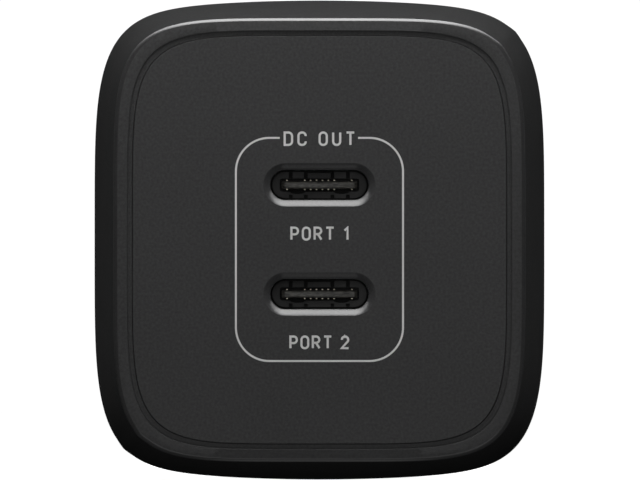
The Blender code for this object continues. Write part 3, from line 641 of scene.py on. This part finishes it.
def add_shell(port, height, look):
    """Open tube of the port, with a narrow lip at its mouth."""
    low, high = box_mm(f"{port}_shell")
    near, far = low.y, high.y
    profile = (
        (near + SHELL_LIP, SHELL_WALL), (near, SHELL_WALL - SHELL_LIP), (near, SHELL_LIP),
        (near + SHELL_LIP, 0.0), (far, 0.0), (far, SHELL_WALL),
    )
    rings = [port_ring(y, height, margin) for y, margin in profile]
    shell = add_object(f"{port}_tube", solid_from_rings(rings, closed_on_itself=True), look)
    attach(shell, "charger_body")
    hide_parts(f"{port}_shell")


def add_rear_wall(port, height, near, look):
    outlines = (wall_outline(), slot_outline(), *slit_outlines())
    raised = [[(x, z + height) for x, z in outline] for outline in outlines]
    shape = plate_from_outlines(raised, near, near + REAR_WALL_THICKNESS)
    wall = add_object(f"{port}_rear_wall", shape, look)
    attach(wall, "charger_body")


def add_base(port, height, near, far, look):
    outline = stadium(PORT_WIDTH - 2 * BASE_MARGIN, PORT_HEIGHT - 2 * BASE_MARGIN)
    shape = plate_from_outlines([[(x, z + height) for x, z in outline]], near, far)
    base = add_object(f"{port}_base", shape, look)
    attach(base, "charger_body")


def add_tongue(port, height, near, far, look):
    tongue = add_object(f"{port}_blade", tongue_shape(near, far, height), look)
    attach(tongue, "charger_body")
    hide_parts(f"{port}_tongue")


def add_contacts(port, height, near, far, look):
    """Contact strips along both faces of the tongue."""
    strips = []
    for x in CONTACT_PLACES:
        for side in (-1, 1):
            for row in (-1, 1):
                low, high = sorted(height + row * reach for reach in CONTACT_HEIGHTS)
                strips.append(soft_box(
                    (side * x - CONTACT_HALF_WIDTH, near, low),
                    (side * x + CONTACT_HALF_WIDTH, far, high),
                    CONTACT_EDGE,
                ))
    contacts = add_object(f"{port}_contacts", merge(strips), look)
    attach(contacts, "charger_body")


def add_port(port, height, looks):
    tongue_low, tongue_high = box_mm(f"{port}_tongue")
    tip, floor = tongue_low.y, tongue_high.y
    wall = floor - REAR_WALL_DEPTH
    base = wall + REAR_WALL_THICKNESS + BASE_GAP
    add_shell(port, height, looks["steel"])
    add_rear_wall(port, height, wall, looks["wall"])
    add_base(port, height, base, floor, looks["base"])
    add_tongue(port, height, tip, base, looks["tongue"])
    add_contacts(port, height, tip + CONTACT_SETBACK, base - 2 * BASE_GAP, looks["gold"])


# Print --------------------------------------------------------------------------------------------------

# Strokes of each letter: whether it closes on itself, then its corners as (x, z, radius) in cap heights
GLYPHS = {
    "D": [(True, ((0, 0, 0), (0, 1, 0), (0.6, 1, 0.3), (0.6, 0, 0.3)))],
    "C": [(False, (
        (0.58, 0.72, 0), (0.58, 1, 0.26), (0, 1, 0.26), (0, 0, 0.26), (0.58, 0, 0.26), (0.58, 0.28, 0)
    ))],
    "O": [(True, ((0, 0, 0.28), (0, 1, 0.28), (0.58, 1, 0.28), (0.58, 0, 0.28)))],
    "U": [(False, ((0, 1, 0), (0, 0, 0.28), (0.57, 0, 0.28), (0.57, 1, 0)))],
    "T": [(False, ((0, 1, 0), (0.62, 1, 0))), (False, ((0.31, 0.99, 0), (0.31, 0, 0)))],
    "P": [(False, ((0, 0, 0), (0, 1, 0), (0.55, 1, 0.27), (0.55, 0.44, 0.27), (0, 0.44, 0)))],
    "R": [
        (False, ((0, 0, 0), (0, 1, 0), (0.55, 1, 0.27), (0.55, 0.46, 0.27), (0, 0.46, 0))),
        (False, ((0.28, 0.45, 0), (0.57, 0, 0))),
    ],
    "1": [(False, ((0, 0.76, 0), (0.24, 1, 0), (0.24, 0, 0)))],
    "2": [(False, (
        (0.01, 0.72, 0), (0.01, 1, 0.27), (0.55, 1, 0.27), (0.55, 0.62, 0.25), (0, 0, 0), (0.58, 0, 0)
    ))],
}


def rounded_path(corners, closed, steps=7):
    """Points along straight runs whose corners are rounded; each corner is (x, z, radius)."""
    points = []
    count = len(corners)
    for i, (x, z, radius) in enumerate(corners):
        here = Vector((x, z))
        inner = closed or 0 < i < count - 1
        if not inner or not radius:
            points.append(here)
            continue
        before = (Vector(corners[i - 1][:2]) - here).normalized()
        after = (Vector(corners[(i + 1) % count][:2]) - here).normalized()
        half = before.angle(after) / 2
        centre = here + (before + after).normalized() * radius / math.sin(half)
        run = radius / math.tan(half)
        start, end = here + before * run - centre, here + after * run - centre
        turn = start.angle_signed(end)
        for step in range(steps + 1):
            angle = -turn * step / steps
            cos, sin = math.cos(angle), math.sin(angle)
            points.append(centre + Vector((start.x * cos - start.y * sin, start.x * sin + start.y * cos)))
    return points


def ribbon(points, closed, width, height):
    """Flat printed line along the points, standing off the panel by the height."""
    shape = bmesh.new()
    loops = []
    count = len(points)
    for i, point in enumerate(points):
        back = (point - points[i - 1]).normalized() if i or closed else None
        ahead = (points[(i + 1) % count] - point).normalized() if i + 1 < count or closed else None
        back = back or ahead
        ahead = ahead or back
        along = (back + ahead).normalized()
        across = Vector((-along.y, along.x)) * (width / 2 / max(MITRE_LIMIT, along.dot(ahead)))
        corners = []
        for side in (1, -1):
            spot = point + across * side
            rows = (FRONT - height, FRONT - PRINT_GAP)
            rows = rows if side == 1 else rows[::-1]
            corners += [shape.verts.new(mm(spot.x, y, spot.y)) for y in rows]
        loops.append(corners)
    pairs = list(zip(loops, loops[1:]))
    if closed:
        pairs.append((loops[-1], loops[0]))
    for near, far in pairs:
        for i in range(4):
            j = (i + 1) % 4
            shape.faces.new((near[i], near[j], far[j], far[i]))
    if not closed:
        shape.faces.new(list(reversed(loops[0])))
        shape.faces.new(loops[-1])
    bmesh.ops.recalc_face_normals(shape, faces=shape.faces)
    return shape


def word_shapes(word, centre_height, cap_height, width):
    """The word's strokes, spaced out to the width and centred on the panel."""
    stroke = PRINT_STROKE
    reach = cap_height - stroke
    sizes = [
        max((x for _, path in GLYPHS.get(letter, ()) for x, _, _ in path), default=SPACE_WIDTH)
        for letter in word
    ]
    gap = (width - stroke - sum(sizes) * reach) / (len(word) - 1)
    left = -(width - stroke) / 2
    shapes = []
    for letter, size in zip(word, sizes):
        for closed, path in GLYPHS.get(letter, ()):
            corners = [(left + x * reach, centre_height + (z - 0.5) * reach, r * reach) for x, z, r in path]
            shapes.append(ribbon(rounded_path(corners, closed), closed, stroke, PRINT_HEIGHT))
        left += size * reach + gap
    return shapes


def add_print(look):
    """Frame line round the ports, open where the title stands, and the words."""
    x, top, bottom, radius = FRAME_HALF_WIDTH, FRAME_TOP, FRAME_BOTTOM, FRAME_CORNER
    corners = [
        (TITLE_GAP[0], top, 0), (-x, top, radius), (-x, bottom, radius),
        (x, bottom, radius), (x, top, radius), (TITLE_GAP[1], top, 0),
    ]
    line = ribbon(rounded_path(corners, False, FRAME_CORNER_STEPS), False, FRAME_STROKE, PRINT_HEIGHT)
    shapes = {"print_frame": [line]}
    for name, word, middle, cap_height, width in WORDS:
        shapes[name] = word_shapes(word, middle, cap_height, width)
    for name, strokes in shapes.items():
        piece = add_object(name, merge(strokes), look)
        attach(piece, "charger_body")


# Looks of the parts that stay as they are ---------------------------------------------------------------

def carried_over_looks(given):
    """One look for each of the record's material slots: the given one, or one for its class."""
    brushed = dict(metallic=1.0, grain=2500, relief=0.001, change=0.06)
    settings = {
        "matte_plastic": dict(roughness=0.5, grain=6000),
        "gloss_plastic": dict(roughness=0.28, grain=3000, relief=0.001),
        "rubber": dict(roughness=0.6, grain=4000),
        "cast_iron": dict(roughness=0.55, grain=5000, relief=0.008, change=0.25),
        "brass": dict(roughness=0.28, stretch=(1, 0.12, 1), **brushed),
        "brushed_steel": dict(roughness=0.3, stretch=(0.1, 1, 1), **brushed),
        "aluminium": dict(roughness=0.33, stretch=(1, 1, 0.1), **brushed),
    }
    looks = dict(given)
    for entry in frame["record"]["materials"]:
        slot = entry["slot"]
        if slot not in looks:
            looks[slot] = textured(slot, entry["base_color"][:3], **settings[entry["class"]])
    return looks


def dress_nodes(looks):
    """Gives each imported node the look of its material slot."""
    slots = {entry["node"]: entry["material_slot"] for entry in frame["record"]["subparts"]}
    for node, obj in frame["nodes"].items():
        obj.data.materials.clear()
        obj.data.materials.append(looks[slots[node]])


# Stage --------------------------------------------------------------------------------------------------

def add_floor():
    """Pale glowing floor that only the camera sees: it lights nothing and casts no shadow."""
    shape = bmesh.new()
    bmesh.ops.create_circle(shape, cap_ends=True, segments=96, radius=FLOOR_RADIUS * MM)
    for vert in shape.verts:
        vert.co.z = cad_box[0].z - FLOOR_GAP * MM
    look, _, shader = start_material("floor_paper")
    shader.inputs["Base Color"].default_value = (*FLOOR_WHITE, 1.0)
    shader.inputs["Roughness"].default_value = 0.9
    shader.inputs["Emission Color"].default_value = (*WHITE, 1.0)
    shader.inputs["Emission Strength"].default_value = 1.0
    floor = add_object("floor", shape, look)
    floor.visible_diffuse = False
    floor.visible_glossy = False
    floor.visible_shadow = False


def add_world():
    """White background that only the camera sees."""
    world = bpy.data.worlds.new("studio")
    bpy.context.scene.world = world
    world.use_nodes = True
    background = world.node_tree.nodes["Background"]
    background.inputs["Color"].default_value = (*WHITE, 1.0)
    background.inputs["Strength"].default_value = WORLD_STRENGTH
    for rays in ("diffuse", "glossy", "transmission", "scatter"):
        setattr(world.cycles_visibility, rays, False)


def place_light(data, place, target):
    lamp = bpy.data.objects.new(data.name, data)
    lamp.location = mm(*place)
    lamp.rotation_euler = (mm(*target) - mm(*place)).to_track_quat("-Z", "Y").to_euler()
    lamp.visible_camera = False
    bpy.context.scene.collection.objects.link(lamp)


def add_lights():
    for name, place, width, height, power in LIGHTS:
        data = bpy.data.lights.new(name, "AREA")
        data.shape = "ELLIPSE"
        data.size = width * MM
        data.size_y = height * MM
        data.energy = power
        x, forward, up = place
        place_light(data, (x, FRONT - forward, up), (0, FRONT, 0))
    for name, place, cone, power in REAR_SPOTS:
        data = bpy.data.lights.new(name, "SPOT")
        data.spot_size = math.radians(cone)
        data.spot_blend = SPOT_BLEND
        data.shadow_soft_size = SPOT_RADIUS * MM
        data.energy = power
        place_light(data, place, SPOT_TARGET)


def add_camera():
    """Camera far in front, facing the front face; the view is VIEW_WIDTH across at that face."""
    data = bpy.data.cameras.new("camera")
    data.lens = CAMERA_LENS
    data.sensor_width = SENSOR_WIDTH
    data.clip_end = CAMERA_REACH * MM
    camera = bpy.data.objects.new("camera", data)
    distance = VIEW_WIDTH / SENSOR_WIDTH * CAMERA_LENS
    camera.location = mm(CAMERA_SIDESTEP, FRONT - distance, 0)
    camera.rotation_euler = (math.radians(90), 0, 0)
    bpy.context.scene.collection.objects.link(camera)
    bpy.context.scene.camera = camera


def front_looks():
    """Looks of the case, its polished rim and the port mouths, whose lighter black is painted light."""
    polished = dict(roughness=0.2, relief=0.0006, roughness_change=0.03)
    case_look = textured(
        "case_plastic_look", CASE_BLACK, 0.7, grain=4500, change=0.22, relief=0.006, roughness_change=0.03,
        specular=0.25,
    )
    rim_look = textured("rim_plastic_look", CASE_BLACK, specular=1.0, **polished)
    # The chamfers of the port mouths take a lighter black than the case: painted light
    mouth_painted_light_look = textured("mouth_plastic_painted_light_look", MOUTH_PAINTED_LIGHT_BLACK, specular=0.66, **polished)
    return case_look, rim_look, mouth_painted_light_look


def port_looks(steel):
    return {
        "steel": steel,
        "wall": textured("port_wall_look", PORT_WALL_BLACK, 0.6),
        "base": textured("port_base_look", PORT_BASE_BLACK, 0.8),
        "tongue": textured(
            "port_tongue_look", TONGUE_GREY, 0.5, grain=3600, stretch=(0.6, 1, 2), relief=0.03, change=0.8
        ),
        "gold": textured("port_contact_look", CONTACT_GOLD, 0.35, metallic=1.0),
    }


def main():
    case_look, rim_look, mouth_painted_light_look = front_looks()
    nickel_look = textured(
        "nickel_plate_look", NICKEL, 0.36, metallic=0.55, grain=2500, stretch=(1, 0.12, 1), relief=0.001,
        change=0.06,
    )
    looks = carried_over_looks({"case_plastic": case_look, "nickel_plate": nickel_look})
    dress_nodes(looks)
    add_case(case_look, rim_look)
    add_panel(case_look, mouth_painted_light_look)
    inner_looks = port_looks(looks["port_steel"])
    for port, height in port_heights().items():
        add_port(port, height, inner_looks)
    add_print(textured("print_ink_look", PRINT_GREY, 0.5, relief=0.002, change=0.04))
    add_floor()
    add_world()
    add_lights()
    add_camera()
    bpy.context.scene.view_settings.view_transform = "Standard"


main()
